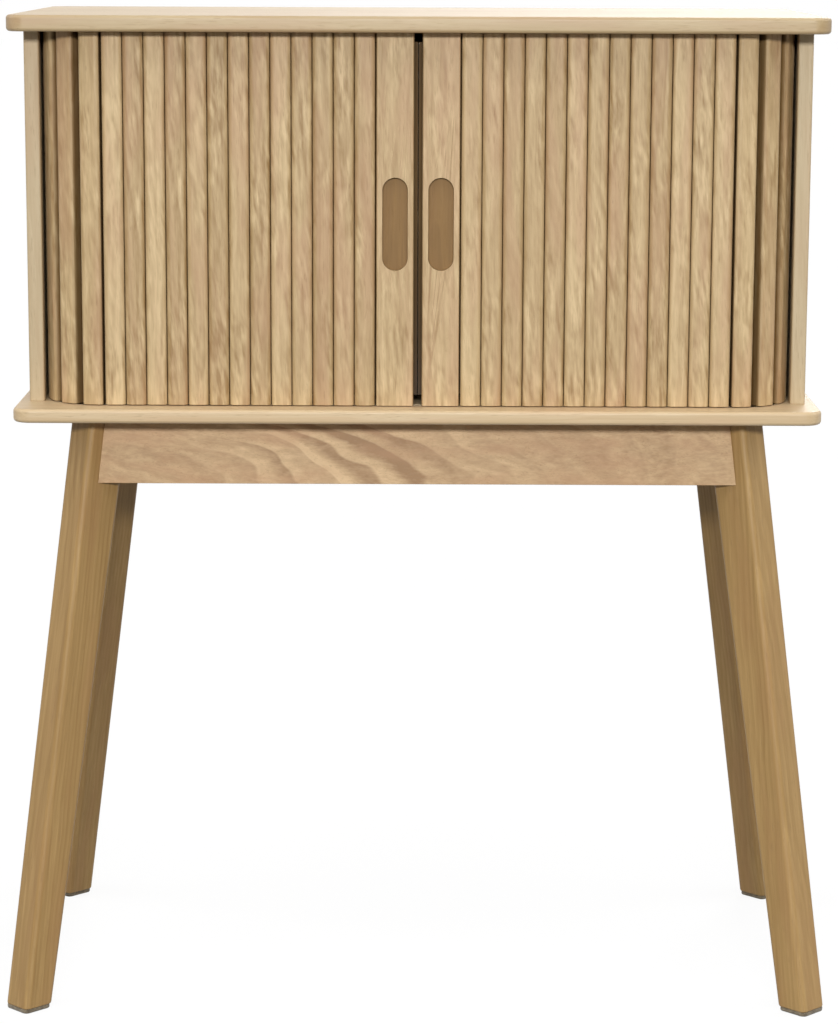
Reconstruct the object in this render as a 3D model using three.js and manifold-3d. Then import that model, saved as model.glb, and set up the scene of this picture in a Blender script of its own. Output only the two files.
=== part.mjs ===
// Tambour cabinet on four splayed legs, in millimetres.
// +Z is up and the doors face -Y. The origin lies on the floor, below the middle of the cabinet.
import * as THREE from "three";
import { mergeVertices } from "three/addons/utils/BufferGeometryUtils.js";
import Module from "manifold-3d";

const wasm = await Module();
wasm.setup();

// Boards and overall sizes
const BOARD_WIDTH = 800;
const BOARD_DEPTH = 400;
const TOP_THICKNESS = 16;
const BASE_THICKNESS = 14;
const BOARD_CORNER_RADIUS = 18;
const BOARD_EDGE_RADIUS = 3.5;
const LEG_HEIGHT = 602;
const CHAMBER_HEIGHT = 368;

// Case
const SIDE_THICKNESS = 15;
const SIDE_SET_IN = 11.5;
const SIDE_FRONT_SET_BACK = 57;
const SIDE_LIP = 16;
const SIDE_HOLLOW_DEPTH = 3;
const CASE_BACK_SET_BACK = 12;
const SIDE_EDGE_RADIUS = 2;
const BACK_THICKNESS = 6;
const BACK_REBATE = 2;
const INNER_SIDE_THICKNESS = 12;
const INNER_SIDE_FRONT_SET_BACK = 82;
const SHELF_THICKNESS = 15;
const SHELF_UNDERSIDE_HEIGHT = 176;
const SHELF_FRONT_SET_BACK = 70;
const CLEAT_WIDTH = 20;
const CLEAT_HEIGHT = 18;
const CLEAT_END_GAP = 25;

// Doors
const DOOR_FRONT_SET_BACK = 28;
const DOOR_HALF_GAP = 4;
const FLAT_RUN_TO_BEND = 4.5;
const SLAT_BACK_GAP = 1.8;
const SLAT_THICKNESS = 15;
const SLAT_EDGE_WIDTH = 1.6;
const SLAT_EDGE_DEPTH = 3.6;
const SLAT_END_CLEARANCE = 0.8;
const FLAT_SLATS = 13;
const BENT_SLATS = 4;
const STILE_WIDTH = 37.2;
const RECESS_WIDTH = 25;
const RECESS_HEIGHT = 91.5;
const RECESS_DEPTH = 7;
const RECESS_CENTRE_HEIGHT = 181;
const CANVAS_THICKNESS = 0.8;
const GLUE_GAP = 0.3;
const CANVAS_END_INSET = 10;
const CANVAS_SIDE_INSET = 6;

// Guides of the doors
const BEND_RADIUS = 42;
const SLAT_TO_SIDE_GAP = 1.4;
const RUN_TO_INNER_SIDE = 12.4;
const TONGUE_WIDTH = 8;
const STILE_TONGUE_WIDTH = 28;
const TONGUE_THICKNESS = 4;
const TONGUE_INSET = 0.5;
const BASE_GROOVE_DEPTH = 8;
const TOP_GROOVE_DEPTH = 9;
const TONGUE_REST_GAP = 0.3;
const TONGUE_LIFT_GAP = 3;
const GROOVE_CLEARANCE = 0.6;
const BEND_GROOVE_OUTER = 11.4;
const BEND_GROOVE_INNER = 7.3;
const WIDE_GROOVE_LEAD = 112;
const WIDE_GROOVE_TAIL = 118;
const GROOVE_BACK_GAP = 14;

// Leg frame
const LEG_THICKNESS = 35;
const LEG_TOP_WIDTH = 50;
const LEG_FOOT_WIDTH = 35;
const LEG_EDGE_RADIUS = 6;
const RIDGE_SIDE_SET_IN = 76;
const RIDGE_FRONT_SET_BACK = 40.5;
const LEG_SPLAY_X = 70;
const LEG_SPLAY_Y = 64;
const APRON_HEIGHT = 67;
const APRON_THICKNESS = 18;
const APRON_BEHIND_RIDGE = 11;
const APRON_END_IN_LEG = 6;
const RAIL_OUTSIDE_RIDGE = 12;
const RAIL_END_BEHIND_RIDGE = 20;
const FRAME_CLEARANCE = 0.3;
const PAD_INSET = 0.8;
const PAD_THICKNESS = 4;

// Steps of a round corner, of a soft edge, of the doors' bend and of half a circle
const CORNER_STEPS = 8;
const EDGE_STEPS = 4;
const BEND_STEPS = 16;
const HALF_CIRCLE_STEPS = 16;

// Heights and planes that follow from the sizes above
const BASE_TOP = LEG_HEIGHT + BASE_THICKNESS;
const TOP_UNDERSIDE = BASE_TOP + CHAMBER_HEIGHT;
const FRONT = -BOARD_DEPTH / 2;
const SIDE_OUTER_X = BOARD_WIDTH / 2 - SIDE_SET_IN;
const SIDE_INNER_X = SIDE_OUTER_X - SIDE_THICKNESS;
const SIDE_FRONT_Y = FRONT + SIDE_FRONT_SET_BACK;
const CASE_BACK_Y = BOARD_DEPTH / 2 - CASE_BACK_SET_BACK;
const BACK_FRONT_Y = CASE_BACK_Y - BACK_REBATE - BACK_THICKNESS;
const SHELF_UNDERSIDE = BASE_TOP + SHELF_UNDERSIDE_HEIGHT;
const DOOR_FRONT_Y = FRONT + DOOR_FRONT_SET_BACK;
// The pitch line runs through the middle of the canvas, and the doors bend about it.
const SLAT_BACK_OFFSET = CANVAS_THICKNESS / 2 + GLUE_GAP;
const SLAT_FRONT_OFFSET = SLAT_BACK_OFFSET + SLAT_THICKNESS;
const PITCH_Y = DOOR_FRONT_Y + SLAT_FRONT_OFFSET;
const PITCH_SIDE_X = SIDE_INNER_X - SLAT_TO_SIDE_GAP - SLAT_FRONT_OFFSET;
const BEND_X = PITCH_SIDE_X - BEND_RADIUS;
const BEND_Y = PITCH_Y + BEND_RADIUS;
const BEND_LENGTH = (BEND_RADIUS * Math.PI) / 2;
// The flat slats fill the door from the stile to just before the bend: their pitch is 20.6 mm here.
const FIRST_CELL_X = DOOR_HALF_GAP + STILE_WIDTH + SLAT_BACK_GAP / 2;
const SLAT_PITCH = (BEND_X - FLAT_RUN_TO_BEND - FIRST_CELL_X) / FLAT_SLATS;
const SLAT_HALF_WIDTH = (SLAT_PITCH - SLAT_BACK_GAP) / 2;
const INNER_HALF = PITCH_SIDE_X - RUN_TO_INNER_SIDE - INNER_SIDE_THICKNESS;
const TONGUE_BACK_OFFSET = SLAT_BACK_OFFSET + TONGUE_INSET;
const TONGUE_FRONT_OFFSET = TONGUE_BACK_OFFSET + TONGUE_THICKNESS;
const SLAT_BOTTOM = BASE_TOP + SLAT_END_CLEARANCE;
const SLAT_TOP = TOP_UNDERSIDE - SLAT_END_CLEARANCE;
const TONGUE_BOTTOM = BASE_TOP - BASE_GROOVE_DEPTH + TONGUE_REST_GAP;
const TONGUE_TOP = TOP_UNDERSIDE + TOP_GROOVE_DEPTH - TONGUE_LIFT_GAP;
const RIDGE_TOP_X = BOARD_WIDTH / 2 - RIDGE_SIDE_SET_IN;
const RIDGE_TOP_Y = BOARD_DEPTH / 2 - RIDGE_FRONT_SET_BACK;
const APRON_BOTTOM = LEG_HEIGHT - APRON_HEIGHT;

// Materials
function wood(color, roughness) {
  return new THREE.MeshStandardMaterial({ color, roughness, metalness: 0 });
}
const BOARD_OAK = wood(0xdcc8a0, 0.55);
const DOOR_OAK = wood(0xcdb287, 0.6);
const CASE_OAK = wood(0xc0a57c, 0.6);
const LEG_OAK = wood(0xa28558, 0.6);
const APRON_OAK = wood(0xc4a37d, 0.6);
const INSIDE_OAK = wood(0xb99a6b, 0.65);
const CANVAS_CLOTH = wood(0x6d5636, 0.95);
const FELT = wood(0x4a4238, 0.95);

// Turns a three.js geometry into a solid that can be joined and cut.
function solidOf(geometry) {
  const plain = geometry.clone();
  plain.deleteAttribute("normal");
  plain.deleteAttribute("uv");
  const merged = mergeVertices(plain, 1e-4);
  return new wasm.Manifold(
    new wasm.Mesh({
      numProp: 3,
      vertProperties: new Float32Array(merged.attributes.position.array),
      triVerts: new Uint32Array(merged.index.array),
    }),
  );
}

// Turns a solid back into a three.js geometry.
function geometryOf(solid) {
  const mesh = solid.getMesh();
  const geometry = new THREE.BufferGeometry();
  geometry.setAttribute("position", new THREE.BufferAttribute(mesh.vertProperties, 3));
  geometry.setIndex(new THREE.BufferAttribute(mesh.triVerts, 1));
  geometry.computeVertexNormals();
  return geometry;
}

function cut(geometry, ...tools) {
  let solid = solidOf(geometry);
  for (const tool of tools) {
    solid = solid.subtract(solidOf(tool));
  }
  return geometryOf(solid);
}

function join(...geometries) {
  let solid = solidOf(geometries[0]);
  for (const geometry of geometries.slice(1)) {
    solid = solid.add(solidOf(geometry));
  }
  return geometryOf(solid);
}

// A box given by its lowest and highest corner.
function box(low, high) {
  const geometry = new THREE.BoxGeometry(high[0] - low[0], high[1] - low[1], high[2] - low[2]);
  geometry.translate((low[0] + high[0]) / 2, (low[1] + high[1]) / 2, (low[2] + high[2]) / 2);
  return geometry;
}

// An upright prism over an outline drawn in plan.
function prism(shape, low, high) {
  const geometry = new THREE.ExtrudeGeometry(shape, {
    depth: high - low,
    bevelEnabled: false,
    curveSegments: BEND_STEPS,
  });
  geometry.translate(0, 0, low);
  return geometry;
}

// The same solid seen in a mirror across the X = 0 plane or the Y = 0 plane.
function mirrored(geometry, signX, signY) {
  const copy = geometry.index ? geometry.toNonIndexed() : geometry.clone();
  copy.scale(signX, signY, 1);
  if (signX * signY < 0) {
    const corners = copy.attributes.position;
    for (let i = 0; i < corners.count; i += 3) {
      const second = new THREE.Vector3().fromBufferAttribute(corners, i + 1);
      const third = new THREE.Vector3().fromBufferAttribute(corners, i + 2);
      corners.setXYZ(i + 1, third.x, third.y, third.z);
      corners.setXYZ(i + 2, second.x, second.y, second.z);
    }
  }
  return copy;
}

// The corners of a polygon, each replaced by an arc of the given radius.
function roundedOutline(corners, radius) {
  const points = [];
  corners.forEach((corner, i) => {
    const before = corners[(i + corners.length - 1) % corners.length];
    const after = corners[(i + 1) % corners.length];
    const toBefore = before.clone().sub(corner).normalize();
    const toAfter = after.clone().sub(corner).normalize();
    const halfAngle = toBefore.angleTo(toAfter) / 2;
    const bisector = toBefore.clone().add(toAfter).normalize();
    const centre = corner.clone().addScaledVector(bisector, radius / Math.sin(halfAngle));
    const start = corner.clone().addScaledVector(toBefore, radius / Math.tan(halfAngle));
    const end = corner.clone().addScaledVector(toAfter, radius / Math.tan(halfAngle));
    const from = start.sub(centre).angle();
    let sweep = end.sub(centre).angle() - from;
    if (sweep > Math.PI) sweep -= 2 * Math.PI;
    if (sweep < -Math.PI) sweep += 2 * Math.PI;
    for (let step = 0; step <= EDGE_STEPS; step += 1) {
      const angle = from + (sweep * step) / EDGE_STEPS;
      points.push(
        new THREE.Vector2(centre.x + radius * Math.cos(angle), centre.y + radius * Math.sin(angle)),
      );
    }
  });
  return points;
}

// A solid between two outlines with as many points each, both running anticlockwise.
function loft(lowOutline, low, highOutline, high) {
  const count = lowOutline.length;
  const positions = [];
  for (const p of lowOutline) positions.push(p.x, p.y, low);
  for (const p of highOutline) positions.push(p.x, p.y, high);
  const index = [];
  for (let i = 0; i < count; i += 1) {
    const j = (i + 1) % count;
    index.push(i, j, count + j, i, count + j, count + i);
  }
  for (let i = 1; i < count - 1; i += 1) {
    index.push(0, i + 1, i);
    index.push(count, count + i, count + i + 1);
  }
  const geometry = new THREE.BufferGeometry();
  geometry.setAttribute("position", new THREE.Float32BufferAttribute(positions, 3));
  geometry.setIndex(index);
  return geometry;
}

function addMesh(group, name, geometry, material) {
  const mesh = new THREE.Mesh(geometry, material);
  mesh.name = name;
  group.add(mesh);
  return mesh;
}

// Top and base boards: a rounded rectangle in plan with soft edges all round.
function boardGeometry(low, thickness) {
  const x = BOARD_WIDTH / 2;
  const y = BOARD_DEPTH / 2;
  const r = BOARD_CORNER_RADIUS;
  const shape = new THREE.Shape();
  shape.moveTo(r - x, -y);
  shape.lineTo(x - r, -y);
  shape.absarc(x - r, r - y, r, -Math.PI / 2, 0, false);
  shape.lineTo(x, y - r);
  shape.absarc(x - r, y - r, r, 0, Math.PI / 2, false);
  shape.lineTo(r - x, y);
  shape.absarc(r - x, y - r, r, Math.PI / 2, Math.PI, false);
  shape.lineTo(-x, r - y);
  shape.absarc(r - x, r - y, r, Math.PI, (3 * Math.PI) / 2, false);
  const geometry = new THREE.ExtrudeGeometry(shape, {
    depth: thickness - 2 * BOARD_EDGE_RADIUS,
    bevelEnabled: true,
    bevelThickness: BOARD_EDGE_RADIUS,
    bevelSize: BOARD_EDGE_RADIUS,
    bevelOffset: -BOARD_EDGE_RADIUS,
    bevelSegments: EDGE_STEPS,
    curveSegments: CORNER_STEPS,
  });
  geometry.translate(0, 0, low + BOARD_EDGE_RADIUS);
  return geometry;
}

// The guide groove in plan, for the right door. It is narrow where the tongues run straight. Round the
// bend and on both sides of it the groove is wide, because a stiff slat swings in it as it turns.
function wideGrooveShape() {
  const outer = BEND_RADIUS + BEND_GROOVE_OUTER;
  const inner = BEND_RADIUS - BEND_GROOVE_INNER;
  const startX = BEND_X - WIDE_GROOVE_LEAD;
  const endY = BEND_Y + WIDE_GROOVE_TAIL;
  const shape = new THREE.Shape();
  shape.moveTo(startX, BEND_Y - outer);
  shape.lineTo(BEND_X, BEND_Y - outer);
  shape.absarc(BEND_X, BEND_Y, outer, -Math.PI / 2, 0, false);
  shape.lineTo(BEND_X + outer, endY);
  shape.lineTo(BEND_X + inner, endY);
  shape.lineTo(BEND_X + inner, BEND_Y);
  shape.absarc(BEND_X, BEND_Y, inner, 0, -Math.PI / 2, true);
  shape.lineTo(startX, BEND_Y - inner);
  return shape;
}

function grooveTools(low, high) {
  const frontWall = TONGUE_FRONT_OFFSET + GROOVE_CLEARANCE;
  const backWall = TONGUE_BACK_OFFSET - GROOVE_CLEARANCE;
  const startX = BEND_X - WIDE_GROOVE_LEAD + 1;
  const endY = BEND_Y + WIDE_GROOVE_TAIL - 1;
  const alongFront = box([-startX, PITCH_Y - frontWall, low], [startX, PITCH_Y - backWall, high]);
  const alongSide = box(
    [PITCH_SIDE_X + backWall, endY, low],
    [PITCH_SIDE_X + frontWall, BACK_FRONT_Y - GROOVE_BACK_GAP, high],
  );
  const bend = prism(wideGrooveShape(), low, high);
  return [alongFront, alongSide, mirrored(alongSide, -1, 1), bend, mirrored(bend, -1, 1)];
}

// Side panel on the right, with soft edges. Behind its front lip it is hollowed, to give the slats room.
function sidePanelGeometry() {
  const corners = [
    new THREE.Vector2(SIDE_INNER_X, SIDE_FRONT_Y),
    new THREE.Vector2(SIDE_OUTER_X, SIDE_FRONT_Y),
    new THREE.Vector2(SIDE_OUTER_X, CASE_BACK_Y),
    new THREE.Vector2(SIDE_INNER_X, CASE_BACK_Y),
  ];
  const outline = roundedOutline(corners, SIDE_EDGE_RADIUS);
  const panel = loft(outline, BASE_TOP, outline, TOP_UNDERSIDE);
  const hollow = box(
    [SIDE_INNER_X - 1, SIDE_FRONT_Y + SIDE_LIP, BASE_TOP - 1],
    [SIDE_INNER_X + SIDE_HOLLOW_DEPTH, CASE_BACK_Y + 1, TOP_UNDERSIDE + 1],
  );
  return cut(panel, hollow);
}

function buildCase() {
  const group = new THREE.Group();
  const top = boardGeometry(TOP_UNDERSIDE, TOP_THICKNESS);
  const topGrooves = grooveTools(TOP_UNDERSIDE - 1, TOP_UNDERSIDE + TOP_GROOVE_DEPTH);
  addMesh(group, "top_board", cut(top, ...topGrooves), BOARD_OAK);
  const base = boardGeometry(LEG_HEIGHT, BASE_THICKNESS);
  const baseGrooves = grooveTools(BASE_TOP - BASE_GROOVE_DEPTH, BASE_TOP + 1);
  addMesh(group, "base_board", cut(base, ...baseGrooves), BOARD_OAK);

  const panel = sidePanelGeometry();
  const innerSide = box(
    [INNER_HALF, FRONT + INNER_SIDE_FRONT_SET_BACK, BASE_TOP],
    [INNER_HALF + INNER_SIDE_THICKNESS, BACK_FRONT_Y, TOP_UNDERSIDE],
  );
  const cleat = box(
    [INNER_HALF - CLEAT_WIDTH, FRONT + SHELF_FRONT_SET_BACK + CLEAT_END_GAP, SHELF_UNDERSIDE - CLEAT_HEIGHT],
    [INNER_HALF, BACK_FRONT_Y - CLEAT_END_GAP, SHELF_UNDERSIDE],
  );
  for (const [side, sign] of [["left", -1], ["right", 1]]) {
    addMesh(group, side + "_side_panel", mirrored(panel, sign, 1), CASE_OAK);
    addMesh(group, side + "_inner_side", mirrored(innerSide, sign, 1), INSIDE_OAK);
    addMesh(group, side + "_shelf_cleat", mirrored(cleat, sign, 1), INSIDE_OAK);
  }

  const back = box(
    [-SIDE_INNER_X - SIDE_HOLLOW_DEPTH, BACK_FRONT_Y, BASE_TOP],
    [SIDE_INNER_X + SIDE_HOLLOW_DEPTH, BACK_FRONT_Y + BACK_THICKNESS, TOP_UNDERSIDE],
  );
  addMesh(group, "back_panel", back, INSIDE_OAK);
  const shelf = box(
    [-INNER_HALF, FRONT + SHELF_FRONT_SET_BACK, SHELF_UNDERSIDE],
    [INNER_HALF, BACK_FRONT_Y, SHELF_UNDERSIDE + SHELF_THICKNESS],
  );
  addMesh(group, "shelf", shelf, INSIDE_OAK);
  return group;
}

// An upright bar of the door in its own frame: X runs along the pitch line, the front faces -Y, and
// its two front edges are rounded over. A tongue at each end runs in the guide grooves.
function barGeometry(halfWidth, tongueWidth) {
  const back = -SLAT_BACK_OFFSET;
  const front = -SLAT_FRONT_OFFSET;
  const shape = new THREE.Shape();
  shape.moveTo(halfWidth, back);
  shape.lineTo(-halfWidth, back);
  for (let step = 0; step <= EDGE_STEPS; step += 1) {
    const angle = ((Math.PI / 2) * step) / EDGE_STEPS;
    shape.lineTo(
      SLAT_EDGE_WIDTH * (1 - Math.cos(angle)) - halfWidth,
      front + SLAT_EDGE_DEPTH * (1 - Math.sin(angle)),
    );
  }
  for (let step = EDGE_STEPS; step >= 0; step -= 1) {
    const angle = ((Math.PI / 2) * step) / EDGE_STEPS;
    shape.lineTo(
      halfWidth - SLAT_EDGE_WIDTH * (1 - Math.cos(angle)),
      front + SLAT_EDGE_DEPTH * (1 - Math.sin(angle)),
    );
  }
  const bar = prism(shape, SLAT_BOTTOM, SLAT_TOP);
  const tongue = box(
    [-tongueWidth / 2, -TONGUE_FRONT_OFFSET, TONGUE_BOTTOM],
    [tongueWidth / 2, -TONGUE_BACK_OFFSET, TONGUE_TOP],
  );
  return join(bar, tongue);
}

// The lead stile has a shallow stadium-shaped finger recess in its front.
function stileGeometry() {
  const radius = RECESS_WIDTH / 2;
  const middle = BASE_TOP + RECESS_CENTRE_HEIGHT;
  const straight = RECESS_HEIGHT / 2 - radius;
  const floorY = RECESS_DEPTH - SLAT_FRONT_OFFSET;
  const shape = new THREE.Shape();
  shape.absarc(0, middle + straight, radius, 0, Math.PI, false);
  shape.absarc(0, middle - straight, radius, Math.PI, 2 * Math.PI, false);
  const recess = new THREE.ExtrudeGeometry(shape, {
    depth: 2 * RECESS_DEPTH,
    bevelEnabled: false,
    curveSegments: HALF_CIRCLE_STEPS,
  });
  recess.rotateX(Math.PI / 2);
  recess.translate(0, floorY, 0);
  return cut(barGeometry(STILE_WIDTH / 2, STILE_TONGUE_WIDTH), recess);
}

// A place on the pitch line of the right door, at a distance past the start of the bend.
function pitchLine(distance) {
  if (distance < 0) {
    return { x: BEND_X + distance, y: PITCH_Y, angle: 0 };
  }
  if (distance > BEND_LENGTH) {
    return { x: PITCH_SIDE_X, y: BEND_Y + distance - BEND_LENGTH, angle: Math.PI / 2 };
  }
  const angle = distance / BEND_RADIUS;
  return {
    x: BEND_X + BEND_RADIUS * Math.sin(angle),
    y: BEND_Y - BEND_RADIUS * Math.cos(angle),
    angle,
  };
}

// The canvas follows the pitch line from behind the stile to the last slat.
function canvasGeometry() {
  const start = DOOR_HALF_GAP + CANVAS_SIDE_INSET - BEND_X;
  const lastSlat = FIRST_CELL_X + (FLAT_SLATS + BENT_SLATS - 0.5) * SLAT_PITCH - BEND_X;
  const end = lastSlat + SLAT_HALF_WIDTH;
  const distances = [start];
  for (let step = 0; step <= BEND_STEPS; step += 1) {
    const distance = (BEND_LENGTH * step) / BEND_STEPS;
    if (distance < end) distances.push(distance);
  }
  distances.push(end);
  const side = (offset) => distances.map((distance) => {
    const place = pitchLine(distance);
    return new THREE.Vector2(
      place.x + offset * Math.sin(place.angle),
      place.y - offset * Math.cos(place.angle),
    );
  });
  const half = CANVAS_THICKNESS / 2;
  const shape = new THREE.Shape([...side(half), ...side(-half).reverse()]);
  return prism(shape, BASE_TOP + CANVAS_END_INSET, TOP_UNDERSIDE - CANVAS_END_INSET);
}

function buildDoor(side, sign) {
  const group = new THREE.Group();
  const stile = addMesh(group, side + "_door_stile", stileGeometry(), DOOR_OAK);
  stile.position.set(sign * (DOOR_HALF_GAP + STILE_WIDTH / 2), PITCH_Y, 0);
  const slatShape = barGeometry(SLAT_HALF_WIDTH, TONGUE_WIDTH);
  for (let i = 0; i < FLAT_SLATS + BENT_SLATS; i += 1) {
    const place = pitchLine(FIRST_CELL_X + (i + 0.5) * SLAT_PITCH - BEND_X);
    const name = side + "_slat_" + String(i + 1).padStart(2, "0");
    const slat = addMesh(group, name, slatShape, DOOR_OAK);
    slat.position.set(sign * place.x, place.y, 0);
    slat.rotation.z = sign * place.angle;
  }
  addMesh(group, side + "_canvas", mirrored(canvasGeometry(), sign, 1), CANVAS_CLOTH);
  return group;
}

// The leg's section at a height, for the front right leg. It is a square-edged bar turned with one
// edge, the ridge, to the front. The face on the ridge's outer side keeps its width, and the face on
// its inner side tapers to the foot. Grow makes the section larger all round.
function legSection(height, grow) {
  const down = 1 - height / LEG_HEIGHT;
  const width = LEG_TOP_WIDTH + (LEG_FOOT_WIDTH - LEG_TOP_WIDTH) * down;
  const outward = new THREE.Vector2(1, 1).normalize();
  const inward = new THREE.Vector2(-1, 1).normalize();
  const ridge = new THREE.Vector2(RIDGE_TOP_X + LEG_SPLAY_X * down, -RIDGE_TOP_Y - LEG_SPLAY_Y * down);
  ridge.addScaledVector(outward, -grow).addScaledVector(inward, -grow);
  const outer = ridge.clone().addScaledVector(outward, LEG_THICKNESS + 2 * grow);
  const back = outer.clone().addScaledVector(inward, width + 2 * grow);
  const inner = ridge.clone().addScaledVector(inward, width + 2 * grow);
  return roundedOutline([ridge, outer, back, inner], LEG_EDGE_RADIUS + grow);
}

function legGeometry(low, grow) {
  return loft(legSection(low, grow), low, legSection(LEG_HEIGHT, grow), LEG_HEIGHT);
}

// A board of the leg frame leans with the legs. It is drawn along X, at the front.
function leaningBoard(halfLength, topFront, lean) {
  const outline = (shift) => [
    new THREE.Vector2(-halfLength, topFront - shift),
    new THREE.Vector2(halfLength, topFront - shift),
    new THREE.Vector2(halfLength, topFront - shift + APRON_THICKNESS),
    new THREE.Vector2(-halfLength, topFront - shift + APRON_THICKNESS),
  ];
  return loft(outline(lean), APRON_BOTTOM, outline(0), LEG_HEIGHT);
}

// The felt pad follows the foot's outline a little inside it.
function padGeometry() {
  const outline = legSection(0, -PAD_INSET);
  return loft(outline, 0, outline, PAD_THICKNESS);
}

function buildLegFrame() {
  const group = new THREE.Group();
  const leg = legGeometry(PAD_THICKNESS, 0);
  const pad = padGeometry();
  const legTool = legGeometry(0, FRAME_CLEARANCE);
  const legTools = [];
  for (const [endName, signY] of [["front", 1], ["rear", -1]]) {
    for (const [side, signX] of [["left", -1], ["right", 1]]) {
      addMesh(group, endName + "_" + side + "_leg", mirrored(leg, signX, signY), LEG_OAK);
      addMesh(group, endName + "_" + side + "_foot_pad", mirrored(pad, signX, signY), FELT);
      legTools.push(mirrored(legTool, signX, signY));
    }
  }

  const shareOfLeg = APRON_HEIGHT / LEG_HEIGHT;
  const apronHalf = RIDGE_TOP_X + LEG_SPLAY_X * shareOfLeg - APRON_BEHIND_RIDGE + APRON_END_IN_LEG;
  const apronFront = APRON_BEHIND_RIDGE - RIDGE_TOP_Y;
  const apron = leaningBoard(apronHalf, apronFront, LEG_SPLAY_Y * shareOfLeg);
  addMesh(group, "front_apron", cut(apron, ...legTools), APRON_OAK);
  addMesh(group, "rear_apron", cut(mirrored(apron, 1, -1), ...legTools), APRON_OAK);

  const railHalf = RIDGE_TOP_Y - RAIL_END_BEHIND_RIDGE;
  const railOuter = -RAIL_OUTSIDE_RIDGE - RIDGE_TOP_X;
  const rail = leaningBoard(railHalf, railOuter, LEG_SPLAY_X * shareOfLeg);
  rail.rotateZ(Math.PI / 2);
  addMesh(group, "right_side_rail", cut(rail, ...legTools), APRON_OAK);
  addMesh(group, "left_side_rail", cut(mirrored(rail, -1, 1), ...legTools), APRON_OAK);
  return group;
}

const cabinet = new THREE.Group();
cabinet.add(buildCase());
cabinet.add(buildDoor("left", -1));
cabinet.add(buildDoor("right", 1));
cabinet.add(buildLegFrame());

export default cabinet;
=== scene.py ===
# %% [markdown]
# # An oak cabinet with tambour doors
#
# The cabinet stands on four splayed legs. Its two doors are rows of upright oak slats, glued side by side
# on canvas, so that each door bends like cloth and slides sideways round a corner into the cabinet.
#
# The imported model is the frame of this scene. Every board, leg and slat already has its place and size
# there. This script gives them soft edges and real finishes, and makes what the frame only stands in for:
# the slats with their fine round-overs, the canvas behind them, the felt under the feet.

# %% Load the frame
import math

import bmesh
import bpy
import numpy as np
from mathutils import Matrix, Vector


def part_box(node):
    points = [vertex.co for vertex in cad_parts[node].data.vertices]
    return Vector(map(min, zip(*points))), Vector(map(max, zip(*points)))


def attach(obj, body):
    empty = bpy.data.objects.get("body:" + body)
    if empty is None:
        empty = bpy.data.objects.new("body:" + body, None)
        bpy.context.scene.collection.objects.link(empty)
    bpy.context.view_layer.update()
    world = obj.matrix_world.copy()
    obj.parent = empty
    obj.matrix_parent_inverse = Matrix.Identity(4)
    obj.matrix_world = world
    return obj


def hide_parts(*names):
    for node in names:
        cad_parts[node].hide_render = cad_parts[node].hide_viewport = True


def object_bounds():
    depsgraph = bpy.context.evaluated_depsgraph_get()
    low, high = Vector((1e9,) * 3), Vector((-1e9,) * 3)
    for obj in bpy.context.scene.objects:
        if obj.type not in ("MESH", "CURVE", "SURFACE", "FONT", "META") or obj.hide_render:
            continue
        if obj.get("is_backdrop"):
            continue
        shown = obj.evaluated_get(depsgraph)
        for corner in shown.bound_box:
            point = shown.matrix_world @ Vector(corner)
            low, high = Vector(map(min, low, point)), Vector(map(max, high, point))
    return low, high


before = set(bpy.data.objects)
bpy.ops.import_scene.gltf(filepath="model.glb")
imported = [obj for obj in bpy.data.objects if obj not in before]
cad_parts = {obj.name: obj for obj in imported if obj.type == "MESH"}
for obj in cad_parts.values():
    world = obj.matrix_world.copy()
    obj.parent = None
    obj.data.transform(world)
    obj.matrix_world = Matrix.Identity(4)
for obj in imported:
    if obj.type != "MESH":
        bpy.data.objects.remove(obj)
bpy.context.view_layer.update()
MM = 0.001

# %% [markdown]
# ## The camera
#
# The picture was taken with a long lens from a little above the cabinet's top, straight in front. A
# camera can be fitted by hand or solved from edges whose real places are known. Here the place, the tilt
# and the focal length were solved from the outlines of the boards and legs, so they are plain numbers.

# %% Camera
CAMERA_PLACE_MM = (2.1, -3273.0, 1072.8)
CAMERA_DOWN = 0.1796
CAMERA_ROLL = 0.0039
FOCAL_PIXELS = 3153.57
IMAGE_HEIGHT_PIXELS = 1024
SENSOR_MM = 36.0

camera_data = bpy.data.cameras.new("camera")
camera_data.sensor_width = SENSOR_MM
camera_data.lens = FOCAL_PIXELS * SENSOR_MM / IMAGE_HEIGHT_PIXELS
camera = bpy.data.objects.new("camera", camera_data)
camera.rotation_mode = "ZXY"
camera.rotation_euler = (math.pi / 2 - CAMERA_DOWN, 0, CAMERA_ROLL)
camera.location = [c * MM for c in CAMERA_PLACE_MM]
bpy.context.scene.collection.objects.link(camera)
bpy.context.scene.camera = camera
print("lens in mm:", round(camera_data.lens, 2))

# %% [markdown]
# ## Colours and nodes
#
# Colours are easiest to read as sRGB hex, as a paint card gives them, but Blender's shaders want linear
# light. One function turns one into the other. A second small function adds a node, so that each
# material below reads as a list of steps.

# %% Two helpers


def linear(hex_colour):
    """Linear RGBA of an sRGB hex: below 0.04045 a straight line, above it a power of 2.4."""
    channels = np.array([int(hex_colour[i : i + 2], 16) for i in (1, 3, 5)]) / 255
    light = np.where(channels <= 0.04045, channels / 12.92, ((channels + 0.055) / 1.055) ** 2.4)
    return (*light.tolist(), 1.0)


def add(tree, kind, inputs=None, out=0, **settings):
    """Adds a shader node, sets its settings, fills or links its inputs, and returns one output."""
    node = tree.nodes.new("ShaderNode" + kind)
    for setting, value in settings.items():
        setattr(node, setting, value)
    for key, value in (inputs or {}).items():
        if isinstance(value, bpy.types.NodeSocket):
            tree.links.new(value, node.inputs[key])
        else:
            node.inputs[key].default_value = value
    return node.outputs[out] if len(node.outputs) else node


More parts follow.
